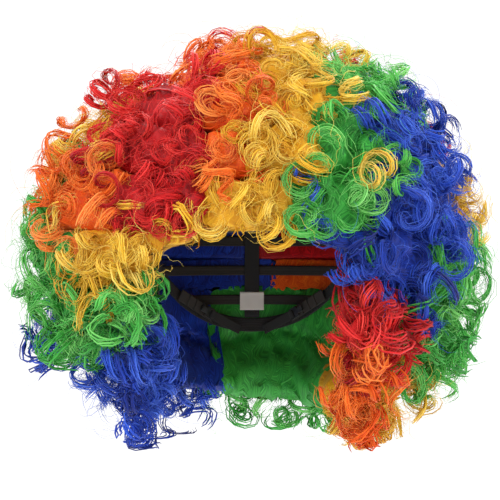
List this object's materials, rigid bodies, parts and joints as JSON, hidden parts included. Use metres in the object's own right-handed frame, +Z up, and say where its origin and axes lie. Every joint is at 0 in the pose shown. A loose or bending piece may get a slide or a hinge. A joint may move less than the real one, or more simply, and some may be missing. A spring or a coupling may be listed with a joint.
{
  "type": "costume wig",
  "caption": "A wide, round rainbow clown wig: rows of curly hair in coloured bundles, sewn to a stretch cap of lace, net and elastic with hook adjusters at the nape",
  "frame": {"origin": "the middle of the wearer's head at the level of the headband, about 20 mm above the eyes, where the head holds the wig", "axes": "+Z up, the face looks along -Y, +X is the wearer's left; the width over the hair is the longest extent, along X"},
  "size_m": [0.38, 0.3368, 0.328],
  "materials": {
    "hair_red": "crimped synthetic fibre in tight curls, soft sheen",
    "hair_orange": "crimped synthetic fibre in tight curls, soft sheen",
    "hair_yellow": "crimped synthetic fibre in tight curls, soft sheen",
    "hair_green": "crimped synthetic fibre in tight curls, soft sheen",
    "hair_blue": "crimped synthetic fibre in tight curls, soft sheen",
    "lace": "matt woven lace",
    "net": "matt open net",
    "elastic": "ribbed woven elastic",
    "weft_tape": "matt tape with rows of stitching",
    "hook_plastic": "smooth moulded black plastic",
    "label": "blank satin tape"
  },
  "bodies": {
    "cap": {"adjuster_loops_left": "weft_tape", "adjuster_loops_right": "weft_tape", "adjuster_strap_left": "elastic", "adjuster_strap_right": "elastic", "care_label": "label", "crown_net": "net", "ear_tab_left": "lace", "ear_tab_right": "lace", "front_band": "lace", "hair_crown_orange": "hair_orange", "hair_crown_red": "hair_red", "hair_crown_yellow": "hair_yellow", "hair_row1_blue_back": "hair_blue", "hair_row1_green": "hair_green", "hair_row1_orange": "hair_orange", "hair_row1_orange_back": "hair_orange", "hair_row1_red": "hair_red", "hair_row1_yellow": "hair_yellow", "hair_row2_blue": "hair_blue", "hair_row2_green": "hair_green", "hair_row2_orange": "hair_orange", "hair_row2_red": "hair_red", "hair_row2_red_back": "hair_red", "hair_row2_yellow": "hair_yellow", "hair_row2_yellow_back": "hair_yellow", "hair_row3_blue": "hair_blue", "hair_row3_green": "hair_green", "hair_row3_green_back": "hair_green", "hair_row3_orange": "hair_orange", "hair_row3_red": "hair_red", "hair_row3_yellow": "hair_yellow", "hair_row3_yellow_back": "hair_yellow", "hair_row4_blue": "hair_blue", "hair_row4_blue_back": "hair_blue", "hair_row4_green": "hair_green", "hair_row4_green_side": "hair_green", "hair_row4_red_back": "hair_red", "hair_row4_yellow": "hair_yellow", "hair_row5_blue_back": "hair_blue", "hair_row5_green": "hair_green", "hair_row5_green_side": "hair_green", "hair_row5_orange_back": "hair_orange", "hair_row5_red": "hair_red", "hair_row6_blue": "hair_blue", "hair_row6_green_back": "hair_green", "hair_row6_orange": "hair_orange", "hair_row6_yellow": "hair_yellow", "nape_band": "elastic", "rib_back": "elastic", "rib_front": "elastic", "rib_left": "elastic", "rib_right": "elastic", "weft_tape_1": "weft_tape", "weft_tape_2": "weft_tape", "weft_tape_3": "weft_tape", "weft_tape_4": "weft_tape", "weft_tape_5": "weft_tape", "weft_tape_6": "weft_tape"},
    "hook_left": {"adjuster_hook_left": "hook_plastic"},
    "hook_right": {"adjuster_hook_right": "hook_plastic"}
  },
  "joints": [
    {"name": "adjuster_slide_left", "type": "slide", "parent": "cap", "child": "hook_left", "axis": [0.6644, -0.5864, 0.4633], "range_m": [-0.008, 0.016], "deforming": ["adjuster_strap_left"]},
    {"name": "adjuster_slide_right", "type": "slide", "parent": "cap", "child": "hook_right", "axis": [-0.6644, -0.5864, 0.4633], "range_m": [-0.008, 0.016], "deforming": ["adjuster_strap_right"]}
  ]
}
